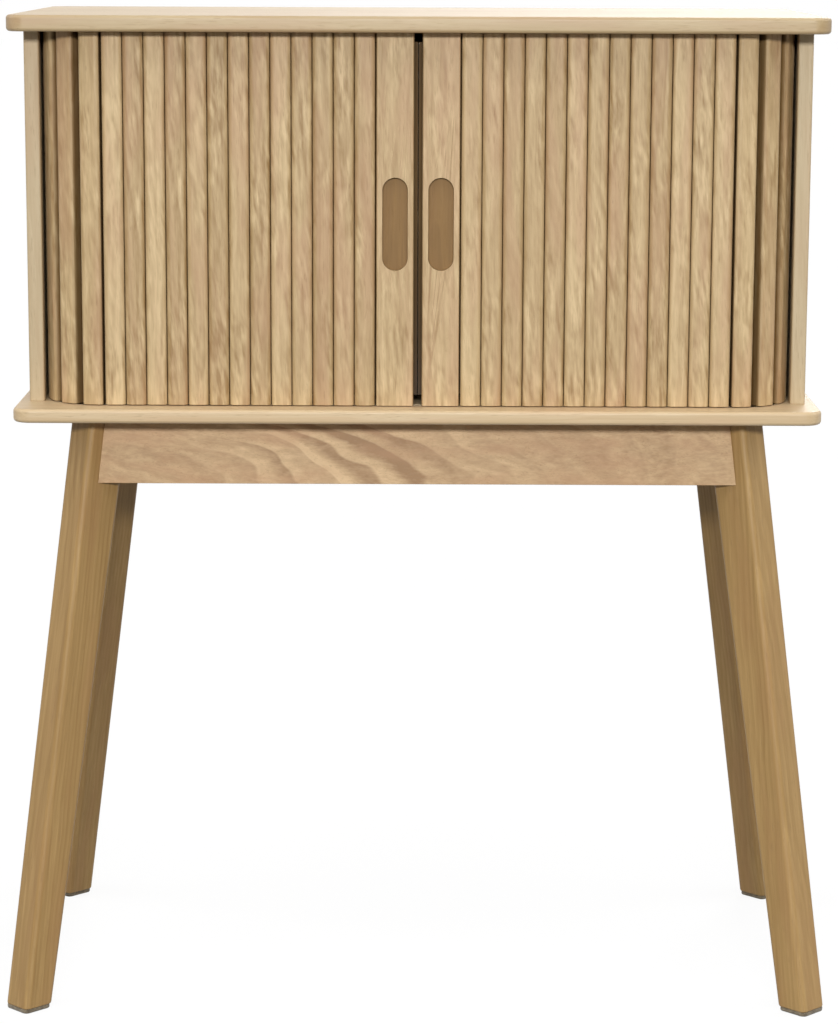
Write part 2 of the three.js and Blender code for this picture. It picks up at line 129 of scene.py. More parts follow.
# The places of the colour sockets on Blender's Mix node
MIX_FACTOR, MIX_A, MIX_B, MIX_RESULT = 0, 6, 7, 2
print("tan oak in linear light:", [round(c, 3) for c in linear("#cbb089")])

# %% [markdown]
# ## Light, floor and background
#
# The light in the picture comes from the front and a little above: each overhang throws a short, crisp
# shadow down, but nothing throws one sideways, and both faces of each front leg are equally bright. That
# is what two low strip lights beside the camera do. Sun lamps would throw crisp shadows sideways too. A
# broad lamp from above lifts the tops, and weak ones from both sides and behind shape the rest.
#
# The world is white where the camera or a reflection looks, and dimmer as a lamp, so that the wood's
# colours stay as they are written. The floor is done the same way: white to the eye, with the cabinet's
# shadow left on it, and grey as a source of bounced light.

# %% Strip lights
STRIPS = {
    # name: (side in degrees from the camera's side, share of full white on a surface that faces it)
    "left_strip": (-5, 0.35),
    "right_strip": (5, 0.36),
}
STRIP_DISTANCE = 4.5
STRIP_HEIGHT = 1.86
STRIP_LENGTH = 1.0
STRIP_THICKNESS = 0.35
AIM_HEIGHT = 0.8


def put_lamp(name, lamp, place=(0, 0, 0), turn=(0, 0, 0)):
    """Links a lamp to the scene at a place, turned by three angles in radians."""
    holder = bpy.data.objects.new(name, lamp)
    holder.location = place
    holder.rotation_euler = turn
    holder.visible_camera = False
    bpy.context.scene.collection.objects.link(holder)


for name, (side, light) in STRIPS.items():
    lamp = bpy.data.lights.new(name, "AREA")
    lamp.shape = "RECTANGLE"
    lamp.size, lamp.size_y = STRIP_LENGTH, STRIP_THICKNESS
    turn = math.radians(side)
    rise = STRIP_HEIGHT - AIM_HEIGHT
    lamp.energy = light * math.pi**2 * (STRIP_DISTANCE**2 + rise**2)
    place = (STRIP_DISTANCE * math.sin(turn), -STRIP_DISTANCE * math.cos(turn), STRIP_HEIGHT)
    put_lamp(name, lamp, place, (math.pi / 2 - math.atan2(rise, STRIP_DISTANCE), 0, turn))
    print(name, "gives", round(lamp.energy), "W")

# %% Broad lamps
SUNS = {
    # name: (elevation, side and spread in degrees, share of full white on a surface that faces it)
    "top_light": (70, 0, 60, 0.42),
    "left_light": (30, -90, 40, 0.27),
    "right_light": (30, 90, 40, 0.27),
    "back_light": (30, 165, 30, 0.4),
}

for name, (elevation, side, spread, light) in SUNS.items():
    lamp = bpy.data.lights.new(name, "SUN")
    lamp.energy = light * math.pi
    lamp.angle = math.radians(spread)
    put_lamp(name, lamp, turn=(math.radians(90 - elevation), 0, math.radians(side)))
    print(name, "at", elevation, "degrees up")

# %% World
WORLD_LIGHT = 0.17
WHITE = (1.0, 1.0, 1.0, 1.0)


def looked_at(tree):
    """1 where the camera, a reflection or a view through glass sees the surface, 0 where it lights others."""
    path = add(tree, "LightPath").node.outputs
    seen = add(tree, "Math", {0: path["Is Camera Ray"], 1: path["Is Glossy Ray"]}, operation="MAXIMUM")
    return add(tree, "Math", {0: seen, 1: path["Is Transmission Ray"]}, operation="MAXIMUM")


world = bpy.data.worlds.new("studio")
bpy.context.scene.world = world
world.use_nodes = True
tree = world.node_tree
tree.nodes.clear()
as_lamp = add(tree, "Background", {"Color": WHITE, "Strength": WORLD_LIGHT})
as_seen = add(tree, "Background", {"Color": WHITE, "Strength": 1.0})
add(tree, "OutputWorld", {"Surface": add(tree, "MixShader", {0: looked_at(tree), 1: as_lamp, 2: as_seen})})
bpy.context.scene.view_settings.view_transform = "Standard"

# %% Floor
FLOOR_SIZE = 60.0
FLOOR_GREY = "#5e5e5e"
FLOOR_GLOW = 0.9

half = FLOOR_SIZE / 2
floor_mesh = bpy.data.meshes.new("floor")
corners = [(-half, -half, 0), (half, -half, 0), (half, half, 0), (-half, half, 0)]
floor_mesh.from_pydata(corners, [], [(0, 1, 2, 3)])
floor = bpy.data.objects.new("floor", floor_mesh)
bpy.context.scene.collection.objects.link(floor)
floor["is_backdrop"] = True

paper = bpy.data.materials.new("white_paper_floor")
paper.use_nodes = True
tree = paper.node_tree
tree.nodes.clear()
grey = add(tree, "BsdfDiffuse", {"Color": linear(FLOOR_GREY)})
glow = add(tree, "Emission", {"Color": WHITE, "Strength": 1.0})
white = add(tree, "BsdfDiffuse", {"Color": WHITE})
pale = add(tree, "MixShader", {0: FLOOR_GLOW, 1: white, 2: glow})
add(tree, "OutputMaterial", {"Surface": add(tree, "MixShader", {0: looked_at(tree), 1: grey, 2: pale})})
floor_mesh.materials.append(paper)
print("floor is", FLOOR_SIZE, "m wide")

# %% [markdown]
# ## Oak
#
# Oak is a ring-porous hardwood. Each year's ring starts with a band of large pores and ends in dense,
# darker wood. A board cut flat through the rings shows arches and flames, one cut straight towards the
# heart shows plain stripes and pale flakes. An image texture would repeat and has one scale. A solid
# pattern, worked out in the log's own space, runs round every edge, as sawn wood does.
#
# So the material first finds where each point lay in its log: across, depth and along the grain. Each
# stick or stave gets its own random place and lean in the log, by its number. Then it draws, from large
# to small: a slow drift of colour, bands and rings round the heart, streaks, flakes, fibres and pores.
# Real pores are 0.2 to 0.4 mm wide, too fine for a picture at 1 mm a pixel, so they are drawn two to
# three times as wide.

# %% Where a point is in its board or stick


def board_place(tree, axes, middle_mm, folded=""):
    """Place from the middle of a board in the order across, depth, along, such as "YZX" for a board along
    X. A folded axis lays a left board on the right one, or a front board on the rear one, and the sign of
    that axis is the board's number."""
    xyz = add(tree, "SeparateXYZ", {0: add(tree, "TexCoord", out="Object")}).node.outputs
    place, number = {}, 0.0
    for i, axis in enumerate(axes):
        value = xyz[axis]
        if axis == folded:
            number = add(tree, "Math", {0: value}, operation="SIGN")
            value = add(tree, "Math", {0: value}, operation="ABSOLUTE")
        place[i] = add(tree, "Math", {0: value, 1: middle_mm["XYZ".index(axis)] * MM}, operation="SUBTRACT")
    return add(tree, "CombineXYZ", place), number


def own_place(tree):
    """The place and the stick number that a piece's mesh carries as attributes."""
    place = add(tree, "Attribute", out=1, attribute_name="place")
    stick = add(tree, "Attribute", out=2, attribute_name="stick")
    return place, stick


# %% Where a stave or stick lay in its log
STAVES_APART = 40.0
FAR_ALONG_M = 5.0


def stave_number(tree, place, board, width_mm):
    """Which glued stave a point is in: whole widths across, plus 40 for each board number."""
    across = add(tree, "SeparateXYZ", {0: place})
    widths = add(tree, "Math", {0: across, 1: width_mm * MM}, operation="DIVIDE")
    whole = add(tree, "Math", {0: widths}, operation="FLOOR")
    return add(tree, "Math", {0: board, 1: STAVES_APART, 2: whole}, operation="MULTIPLY_ADD")


def log_place(tree, place, stick, seed, across_mm, depth_mm, lean):
    """Place in the log. Each stick is shifted across and in depth, and leans by a share of its height,
    each drawn at random between two limits, and lies up to 5 m further along. Also returns a random tone
    from 0 to 1."""
    number = add(tree, "Math", {0: stick, 1: float(seed)}, operation="ADD")
    chance = add(tree, "TexWhiteNoise", {"W": number}, noise_dimensions="1D")
    rolled = add(tree, "SeparateXYZ", {0: chance.node.outputs["Color"]}).node.outputs
    ranges = ([c * MM for c in across_mm], [c * MM for c in depth_mm], lean)
    across, depth, leaning = (
        add(tree, "MapRange", {0: rolled[i], 3: low, 4: high}) for i, (low, high) in enumerate(ranges)
    )
    along = add(tree, "SeparateXYZ", {0: place}, out=2)
    leant = add(tree, "Math", {0: along, 1: leaning, 2: depth}, operation="MULTIPLY_ADD")
    far_along = add(tree, "Math", {0: chance, 1: FAR_ALONG_M}, operation="MULTIPLY")
    shift = add(tree, "CombineXYZ", {0: across, 1: leant, 2: far_along})
    return add(tree, "VectorMath", {0: place, 1: shift}, operation="ADD"), chance


def stretched(tree, place, across_mm, along_mm):
    """Coordinates in which a feature of this size across and along the grain is one unit wide."""
    scale = (1 / (across_mm * MM), 1 / (across_mm * MM), 1 / (along_mm * MM))
    return add(tree, "VectorMath", {0: place, 1: scale}, operation="MULTIPLY")


# %% Sizes and weights of the grain
STEP = {"interpolation_type": "SMOOTHSTEP"}
GRAIN_MM = {
    # feature: (width across the grain, length along it)
    "wander": (55, 200), "drift": (22, 160), "streaks": (5, 180), "flakes": (4.5, 24), "patches": (20, 90),
    "fibres": (1.3, 40), "pores": (0.8, 14),
}
RING_WEIGHT, BAND_WEIGHT, FIBRE_WEIGHT = 0.35, 1.2, 0.4


def wandering(tree, log, wander_mm):
    """The place in the log, shifted across and in depth by a slow noise, by up to the wander each way."""
    noise = add(tree, "TexNoise", {"Vector": stretched(tree, log, *GRAIN_MM["wander"]), "Scale": 1.0}, out=1)
    noise = add(tree, "VectorMath", {0: noise, 1: (0.5, 0.5, 0.5)}, operation="SUBTRACT")
    reach = (2 * wander_mm * MM, 2 * wander_mm * MM, 0.0)
    return add(tree, "VectorMath", {0: noise, 1: reach, 2: log}, operation="MULTIPLY_ADD")


# %% [markdown]
# ### Rings
#
# A ring is one year of growth, and rings of good and poor years make up wider bands. On a board's face
# they show as stripes or arches, by the way the saw went. A wave texture would draw them all alike. Here
# the distance from the heart is divided by the ring's width, in a log that wanders a little, and a second,
# slower pattern on the same distance makes the bands.

# %% Rings and bands


def ring_figure(tree, bent, ring_mm, band_mm, figure):
    """Rings and bands round the heart, as a share of dark about a mean of 0. The ring number is the
    distance from the heart divided by the ring width. A ring darkens through most of its width and pales
    at its end, and a band is a slow noise on that distance. Also returns the phase within the ring."""
    flat = add(tree, "VectorMath", {0: bent, 1: (1, 1, 0)}, operation="MULTIPLY")
    from_heart = add(tree, "VectorMath", {0: flat}, out=1, operation="LENGTH")
    rings = add(tree, "Math", {0: from_heart, 1: ring_mm * MM}, operation="DIVIDE")
    phase = add(tree, "Math", {0: rings}, operation="FRACT")
    late = add(tree, "MapRange", {0: phase, 1: 0.1, 2: 0.8}, **STEP)
    edge = add(tree, "MapRange", {0: phase, 1: 0.88, 2: 1.0, 3: 1.0, 4: 0.0}, **STEP)
    ring = add(tree, "Math", {0: late, 1: edge}, operation="MULTIPLY")
    in_bands = add(tree, "Math", {0: from_heart, 1: band_mm * MM}, operation="DIVIDE")
    band = add(tree, "TexNoise", {"W": in_bands, "Scale": 1.0, "Detail": 1.0}, noise_dimensions="1D")
    share = -0.5 * (RING_WEIGHT + BAND_WEIGHT) * figure
    for value, weight in ((ring, RING_WEIGHT * figure), (band, BAND_WEIGHT * figure)):
        share = add(tree, "Math", {0: value, 1: weight, 2: share}, operation="MULTIPLY_ADD")
    return share, phase


# %% [markdown]
# ### Swirls and flakes
#
# Near a knot the rings stand out in a swirl, and further along the same board they run quietly. Flakes
# are the wood's rays, which run outwards from the heart and show as pale, silky patches where the cut
# follows them. They could be modelled one by one. A noise stretched and slanted to the grain, strong in
# some places and weak in others, gives the same look at this size.

# %% Swirl and flakes
SWIRL_CORE = 0.3
SWIRL_OUTSIDE = 0.2
FLAKE_SLANT = 0.12
FLAKE_LEAST = 0.35


def kept_to_swirl(tree, share, place, middle_mm, reach_mm):
    """The rings' share, in full round the swirl's middle along the grain, and a fifth past its reach."""
    along = add(tree, "SeparateXYZ", {0: place}, out=2)
    away = add(tree, "Math", {0: along, 1: middle_mm * MM}, operation="SUBTRACT")
    away = add(tree, "Math", {0: away}, operation="ABSOLUTE")
    limits = {1: SWIRL_CORE * reach_mm * MM, 2: reach_mm * MM, 3: 1.0, 4: SWIRL_OUTSIDE}
    near = add(tree, "MapRange", {0: away, **limits}, **STEP)
    return add(tree, "Math", {0: share, 1: near}, operation="MULTIPLY")


def with_flakes(tree, share, bent, log, flake):
    """The share plus flakes: a noise about 0, long and slanted to the grain, strong in some patches."""
    slant = add(tree, "VectorRotate", {"Vector": bent, "Angle": FLAKE_SLANT}, rotation_type="Y_AXIS")
    flakes = add(tree, "TexNoise", {"Vector": stretched(tree, slant, *GRAIN_MM["flakes"]), "Scale": 1.0})
    flakes = add(tree, "Math", {0: 0.5, 1: flakes}, operation="SUBTRACT")
    patches = add(tree, "TexNoise", {"Vector": stretched(tree, log, *GRAIN_MM["patches"]), "Scale": 1.0})
    limits = {1: 0.42, 2: 0.6, 3: FLAKE_LEAST * flake, 4: flake}
    patches = add(tree, "MapRange", {0: patches, **limits}, **STEP)
    return add(tree, "Math", {0: flakes, 1: patches, 2: share}, operation="MULTIPLY_ADD")


# %% [markdown]
# ### Painted shade on the sides of the slats
#
# The faces of the slats are oiled and rubbed until they shine, and their sides, down in the grooves, are
# duller. Their brown there is painted shade: the colour darkens towards brown with the depth below the
# face, where the grooves get little light. Two materials would meet in a hard line. Each slat knows the
# depth of every point below its face, so one material can darken with it little by little.

# %% Painted shade on the sides of a slat
# The brown of the painted shade in the grooves between the slats
GROOVE_SHADE_BROWN = "#543810"
GROOVE_MM = (-15.4, -10.5)  # on a slat's own depth axis, where its face is at -15.7 and its back at -0.7
SATIN_SPECULAR, GROOVE_SPECULAR = 0.5, 0.05


def paint_groove_shade(tree, colour, shader, place, groove_shade):
    """The colour, mixed towards a brown of painted shade in a straight line with depth below the slat's face,
    with its shine dulled as well.
    """
    depth = add(tree, "SeparateXYZ", {0: place}, out=1)
    shade_share = add(tree, "MapRange", {0: depth, 1: GROOVE_MM[0] * MM, 2: GROOVE_MM[1] * MM, 3: 0.0, 4: groove_shade})
    dull = add(tree, "MapRange", {0: shade_share, 2: groove_shade, 3: SATIN_SPECULAR, 4: GROOVE_SPECULAR})
    tree.links.new(dull, shader.inputs["Specular IOR Level"])
    return add(tree, "Mix", {MIX_FACTOR: shade_share, MIX_A: colour, MIX_B: linear(GROOVE_SHADE_BROWN)}, out=MIX_RESULT,
               data_type="RGBA")


# %% [markdown]
# ### Pores
#
# The pores are the tubes that carried the tree's water. The saw cuts them lengthwise into fine dark
# dashes, most of them in the first part of each ring, and they stay a little open under the oil. Bump
# alone would lose them from afar, so they darken the colour as well as lower the surface.

# %% Pores
PORE_BROWN = "#6a4f2c"
PORE_SHARE = 0.22


def open_pores(tree, log, phase):
    """Pores from 0 to 1: the peaks of a fine noise, crowded into the first part of each ring."""
    pores = add(tree, "TexNoise", {"Vector": stretched(tree, log, *GRAIN_MM["pores"]), "Scale": 1.0,
                                   "Detail": 1.0})
    pores = add(tree, "MapRange", {0: pores, 1: 0.6, 2: 0.7}, **STEP)
    early = add(tree, "MapRange", {0: phase, 1: 0.25, 2: 0.6, 3: 1.0, 4: 0.25}, **STEP)
    return add(tree, "Math", {0: pores, 1: early}, operation="MULTIPLY")


# %% The oak material
PORE_DEPTH_MM = 0.15


def oak(name, pale, dark, warm, place_of, seed=0, stave_mm=None, ring_mm=5.0, band_mm=16.0,
        across_mm=(-30, 30), depth_mm=(10, 70), lean=(-0.05, 0.05), wander_mm=8.0, figure=0.5,
        tone_share=0.25, streak=0.5, flake=0.0, groove_shade=0.0, swirl_mm=None, roughness=0.52):
    """Oiled oak. Its colour runs from pale to dark by the sum of rings, flakes, streaks, fibres and the
    stick's tone, about a mean of a half, is tinted warm by a slow drift, and is dotted with dark pores.
    A swirl, with its middle and reach along the grain, keeps the rings to one stretch of the board. A
    groove shade share paints shade on a slat's sides, darker with their depth."""
    material = bpy.data.materials.new(name)
    material.use_nodes = True
    tree = material.node_tree
    shader = tree.nodes["Principled BSDF"]
    place, stick = place_of(tree)
    if stave_mm:
        stick = stave_number(tree, place, stick, stave_mm)
    log, tone = log_place(tree, place, stick, seed, across_mm, depth_mm, lean)
    bent = wandering(tree, log, wander_mm)
    streaks = add(tree, "TexNoise", {"Vector": stretched(tree, bent, *GRAIN_MM["streaks"]), "Scale": 1.0})
    fibre = add(tree, "TexNoise", {"Vector": stretched(tree, log, *GRAIN_MM["fibres"]), "Scale": 1.0,
                                   "Detail": 3.0})
    drift = add(tree, "TexNoise", {"Vector": stretched(tree, log, *GRAIN_MM["drift"]), "Scale": 1.0})

    share, phase = ring_figure(tree, bent, ring_mm, band_mm, figure)
    if swirl_mm:
        share = kept_to_swirl(tree, share, place, *swirl_mm)
    if flake:
        share = with_flakes(tree, share, bent, log, flake)
    base = 0.5 - 0.5 * (streak + FIBRE_WEIGHT + tone_share)
    share = add(tree, "Math", {0: share, 1: base}, operation="ADD")
    for value, weight in ((streaks, streak), (fibre, FIBRE_WEIGHT), (tone, tone_share)):
        share = add(tree, "Math", {0: value, 1: weight, 2: share}, operation="MULTIPLY_ADD")
    share = add(tree, "Clamp", {0: share})
    colour = add(tree, "Mix", {MIX_FACTOR: share, MIX_A: linear(pale), MIX_B: linear(dark)}, out=MIX_RESULT,
                 data_type="RGBA")
    tint = add(tree, "MapRange", {0: drift, 1: 0.42, 2: 0.7, 3: 0.0, 4: 0.45}, **STEP)
    colour = add(tree, "Mix", {MIX_FACTOR: tint, MIX_A: colour, MIX_B: linear(warm)}, out=MIX_RESULT,
                 data_type="RGBA")
    # Painted shade: a slat's sides darken with depth down in the grooves
    if groove_shade:
        colour = paint_groove_shade(tree, colour, shader, place, groove_shade)
    pores = open_pores(tree, log, phase)
    pore_share = add(tree, "Math", {0: pores, 1: PORE_SHARE}, operation="MULTIPLY")
    colour = add(tree, "Mix", {MIX_FACTOR: pore_share, MIX_A: colour, MIX_B: linear(PORE_BROWN)},
                 out=MIX_RESULT, data_type="RGBA")
    tree.links.new(colour, shader.inputs["Base Color"])

    height = add(tree, "Math", {0: fibre, 1: 0.4}, operation="MULTIPLY")
    height = add(tree, "Math", {0: height, 1: pores}, operation="SUBTRACT")
    bump = add(tree, "Bump", {"Height": height, "Strength": 0.5, "Distance": PORE_DEPTH_MM * MM})
    tree.links.new(bump, shader.inputs["Normal"])
    matt = add(tree, "MapRange", {0: fibre, 3: roughness - 0.06, 4: roughness + 0.08})
    tree.links.new(matt, shader.inputs["Roughness"])
    return material


# %% [markdown]
# ## Which oak goes where
#
# The cabinet is all oak, but not from one plank. The top and the base are glued up from staves that run
# along X. The doors' slats come from many sticks, some cut towards the heart, with flakes. The front
# apron is one plank cut close to the heart, where the rings cross its face in wide arcs. The legs are
# solid and a little browner, and their grain follows their splay.

# %% The leg's own space
LEG_TOP_MIDDLE_MM = (333.0, 157.0)

foot_middle = sum(np.array(corner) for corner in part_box("front_right_foot_pad")) / 2
leg_top = float(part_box("front_right_leg")[1][2])
leg_start = (LEG_TOP_MIDDLE_MM[0] * MM, LEG_TOP_MIDDLE_MM[1] * MM, 0.0)
leg_slope = (
    (float(foot_middle[0]) - leg_start[0]) / leg_top,
    (-float(foot_middle[1]) - leg_start[1]) / leg_top,
    0.0,
)
print("a leg splays by", [round(math.degrees(math.atan(s)), 1) for s in leg_slope[:2]], "degrees")


def leg_place(tree):
    """Place in a leg that splays: the distances |x| and |y| less those of the leg's line at that height,
    turned by 45 degrees to lie along its faces. The four legs get four numbers by the signs of x and y."""
    coordinates = add(tree, "TexCoord", out="Object")
    sides = add(tree, "VectorMath", {0: coordinates}, operation="ABSOLUTE")
    sign = add(tree, "VectorMath", {0: coordinates}, operation="SIGN")
    down = add(tree, "Math", {0: leg_top, 1: add(tree, "SeparateXYZ", {0: coordinates}, out=2)},
               operation="SUBTRACT")
    drop = add(tree, "CombineXYZ", {0: down, 1: down, 2: 0.0})
    line = add(tree, "VectorMath", {0: drop, 1: leg_slope, 2: leg_start}, operation="MULTIPLY_ADD")
    local = add(tree, "VectorMath", {0: sides, 1: line}, operation="SUBTRACT")
    turned = add(tree, "VectorRotate", {"Vector": local, "Angle": math.pi / 4}, rotation_type="Z_AXIS")
    stick = add(tree, "VectorMath", {0: sign, 1: (1, 2, 0)}, out=1, operation="DOT_PRODUCT")
    return turned, stick


# %% Oak materials


def middle_mm(node):
    """The middle of a node's box in mm."""
    return sum(np.array(corner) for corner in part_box(node)) / 2 / MM


top_oak = oak("satin_oak_top", "#bca781", "#9f845c", "#ac8a68",
              lambda t: board_place(t, "YZX", middle_mm("top_board")), seed=3, stave_mm=78, ring_mm=6,
              depth_mm=(30, 120), lean=(-0.03, 0.03), figure=0.55, streak=0.65, roughness=0.4)
base_oak = oak("satin_oak_base", "#d9c5a2", "#bb9f76", "#c9a784",
               lambda t: board_place(t, "YZX", middle_mm("base_board")), seed=9, stave_mm=82, ring_mm=6,
               depth_mm=(30, 120), lean=(-0.03, 0.03), figure=0.4, roughness=0.44)
case_oak = oak("satin_oak_side_panels", "#cdbc9a", "#a8906c", "#b89c7a",
               lambda t: board_place(t, "YXZ", middle_mm("right_side_panel"), "X"), seed=11, stave_mm=70,
               ring_mm=6, depth_mm=(20, 90), lean=(-0.04, 0.04), figure=0.45)
door_oak = oak("satin_oak_slats", "#ceb488", "#94764a", "#b18a68", own_place, seed=7, ring_mm=5, band_mm=11,
               depth_mm=(15, 80), lean=(-0.06, 0.06), figure=0.4, tone_share=0.45, streak=0.8, flake=2.2,
               groove_shade=0.75)
# The recess's darker colour is painted shade, for the shade down in the finger recess; its rougher milled
# surface is real.
recess_shade_oak = oak("milled_oak_recess_painted_shade", "#916f3e", "#6f5127", "#7e5c31", own_place, seed=8, ring_mm=5,
                 depth_mm=(15, 80), figure=0.6, tone_share=0.0, roughness=0.65)
leg_oak = oak("satin_oak_legs", "#ba9862", "#83622f", "#9c7548", leg_place, seed=5, ring_mm=4.5, band_mm=14,
              depth_mm=(30, 60), lean=(-0.02, 0.02), figure=0.4, tone_share=0.12, streak=0.7)
apron_oak = oak("satin_oak_front_apron", "#d8b78a", "#957147", "#b58a62",
                lambda t: board_place(t, "ZYX", middle_mm("front_apron")), seed=21, ring_mm=12, band_mm=24,
                across_mm=(40, 40), depth_mm=(118, 118), lean=(0.3, 0.3), wander_mm=14, figure=2.0,
                tone_share=0.0, streak=0.6, flake=0.8, swirl_mm=(-75, 140))
rail_oak = oak("satin_oak_rails", "#c9aa7e", "#a07d54", "#b98e69",
               lambda t: board_place(t, "ZXY", middle_mm("right_side_rail"), "X"), seed=31, ring_mm=8,
               band_mm=22, depth_mm=(60, 120), lean=(-0.1, 0.1), wander_mm=12)
rear_oak = oak("satin_oak_rear_apron", "#c9aa7e", "#a07d54", "#b98e69",
               lambda t: board_place(t, "ZYX", middle_mm("rear_apron")), seed=33, ring_mm=8, band_mm=22,
               depth_mm=(60, 120), lean=(-0.1, 0.1), wander_mm=12)
back_oak = oak("oak_veneer_back", "#c8ac7e", "#a18358", "#b08c62",
               lambda t: board_place(t, "XYZ", middle_mm("back_panel")), seed=41, stave_mm=126, ring_mm=7,
               band_mm=24, across_mm=(-63, 63), depth_mm=(20, 70), lean=(-0.08, 0.08), figure=0.55)
inside_oak = oak("oak_veneer_inside", "#c8ac7e", "#a18358", "#b08c62",
                 lambda t: board_place(t, "YZX", middle_mm("shelf")), seed=51, stave_mm=105, ring_mm=7,
                 depth_mm=(30, 80), lean=(-0.04, 0.04), figure=0.45)
print("oak materials:", len([m for m in bpy.data.materials if "oak" in m.name]))

# %% [markdown]
# ## Soft edges on sawn boards
#
# A board that leaves the workshop has its edges eased with a strip of sandpaper, by half a millimetre or
# so. The frame's edges are perfectly sharp, and no light catches on them. A Bevel modifier eases them
# without touching the mesh. The frame's meshes are loose triangles, so a Weld modifier joins them first,
# and a planar Decimate makes each flat face one face again. Weighted normals keep the flat faces flat.

# %% Ease the edges of the frame's boards
EASED_MM = {"top_board": 0.5, "base_board": 0.5, "_side_panel": 0.6, "_leg": 1.8}
EASED_ELSEWHERE_MM = 0.7
SHARP_FROM_DEGREES = 35


def smooth_group():
    """A geometry node group that shades every face smooth."""
    group = bpy.data.node_groups.new("shade_smooth", "GeometryNodeTree")
    group.interface.new_socket("Geometry", in_out="INPUT", socket_type="NodeSocketGeometry")
    group.interface.new_socket("Geometry", in_out="OUTPUT", socket_type="NodeSocketGeometry")
    enter = group.nodes.new("NodeGroupInput")
    smooth = group.nodes.new("GeometryNodeSetShadeSmooth")
    leave = group.nodes.new("NodeGroupOutput")
    group.links.new(enter.outputs[0], smooth.inputs[0])
    group.links.new(smooth.outputs[0], leave.inputs[0])
    return group


SMOOTH = smooth_group()


def ease(piece, width_mm, weld=True):
    """Adds the modifiers that ease a board's edges by a width."""
    if weld:
        piece.modifiers.new("weld", "WELD").merge_threshold = 0.005 * MM
        flat = piece.modifiers.new("flat faces", "DECIMATE")
        flat.decimate_type = "DISSOLVE"
        flat.angle_limit = math.radians(0.5)
    bevel = piece.modifiers.new("eased edges", "BEVEL")
    bevel.width = width_mm * MM
    bevel.segments = 2
    bevel.limit_method = "ANGLE"
    bevel.angle_limit = math.radians(SHARP_FROM_DEGREES)
    piece.modifiers.new("smooth", "NODES").node_group = SMOOTH
    piece.modifiers.new("flat shading", "WEIGHTED_NORMAL").weight = 100


def paint(piece, material):
    """The piece's only material."""
    piece.data.materials.clear()
    piece.data.materials.append(material)


FINISHES = {
    "top_board": top_oak, "base_board": base_oak, "back_panel": back_oak, "shelf": inside_oak,
    "front_apron": apron_oak, "rear_apron": rear_oak, "_side_panel": case_oak, "_inner_side": case_oak,
    "_shelf_cleat": rail_oak, "_side_rail": rail_oak, "_leg": leg_oak,
}
for name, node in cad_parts.items():
    finish = next((material for end, material in FINISHES.items() if name.endswith(end)), None)
    if finish:
        paint(node, finish)
        width = next((w for end, w in EASED_MM.items() if name.endswith(end)), EASED_ELSEWHERE_MM)
        ease(node, width)
print("boards with eased edges:", sum(len(o.modifiers) > 0 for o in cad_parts.values()))

# %% [markdown]
# ## The slats
#
# A tambour slat is a narrow stick, flat on its glued back and rounded over along both front edges, with a
# small tongue at each end that runs in the groove of the board. It could be a bevelled box, but the edges
# here fall away in a wide, shallow curve, so each is a piece of an ellipse, and the sides swell a little
# behind it, so that neighbours nearly touch. The section is drawn once as an array and carried up the
# height: small at the tongue, wide at the bar, small again. Each slat also carries its own coordinates
# and number, so that the grain turns with it round the bend.

# %% Sizes of the doors, from the frame


def box_mm(node):
    """A node's lowest and highest corner in mm."""
    return [np.array(corner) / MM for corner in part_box(node)]


SLAT_EDGE_WIDTH = 4.6
SLAT_EDGE_DEPTH = 2.2
SLAT_EDGE_START = 0.8
SLAT_SWELL = 0.6
SLAT_SWELL_DEPTHS = (5.8, 9.0, 11.5)
SLAT_BACK_EDGE = 0.4
END_CHAMFER = 0.5
END_CLEARANCE = 0.8
BEND_RADIUS = 42.0
GLUE_GAP = 0.3
CANVAS_THICKNESS = 0.8
TONGUE_WIDTH = 8.0
TONGUE_THICKNESS = 4.0
TONGUE_INSET = 0.5
SLATS = 17
DOOR_BODY_SLATS = 8

slat_low, slat_high = box_mm("right_slat_01")
next_low = box_mm("right_slat_02")[0]
last_low = box_mm(f"right_slat_{SLATS}")[0]
slat_half = (slat_high[0] - slat_low[0]) / 2
slat_thickness = slat_high[1] - slat_low[1]
pitch = next_low[0] - slat_low[0]
back_offset = CANVAS_THICKNESS / 2 + GLUE_GAP
pitch_y = slat_high[1] + back_offset
side_x = last_low[0] - back_offset
bend_x = side_x - BEND_RADIUS
bend_y = pitch_y + BEND_RADIUS
bar_bottom = box_mm("base_board")[1][2] + END_CLEARANCE
bar_top = box_mm("top_board")[0][2] - END_CLEARANCE
first_middle = (slat_low[0] + slat_high[0]) / 2
print("slat", round(2 * slat_half, 2), "by", round(slat_thickness, 2), "mm, every", round(pitch, 2), "mm")


def on_pitch_line(distance):
    """Place and turn at a distance past the start of the bend: straight, then an arc, then straight."""
    bend = BEND_RADIUS * math.pi / 2
    turn = np.clip(distance, 0, bend) / BEND_RADIUS
    x = bend_x + BEND_RADIUS * math.sin(turn) + min(distance, 0)
    y = bend_y - BEND_RADIUS * math.cos(turn) + max(distance - bend, 0)
    return x, y, turn


# %% The slat's section


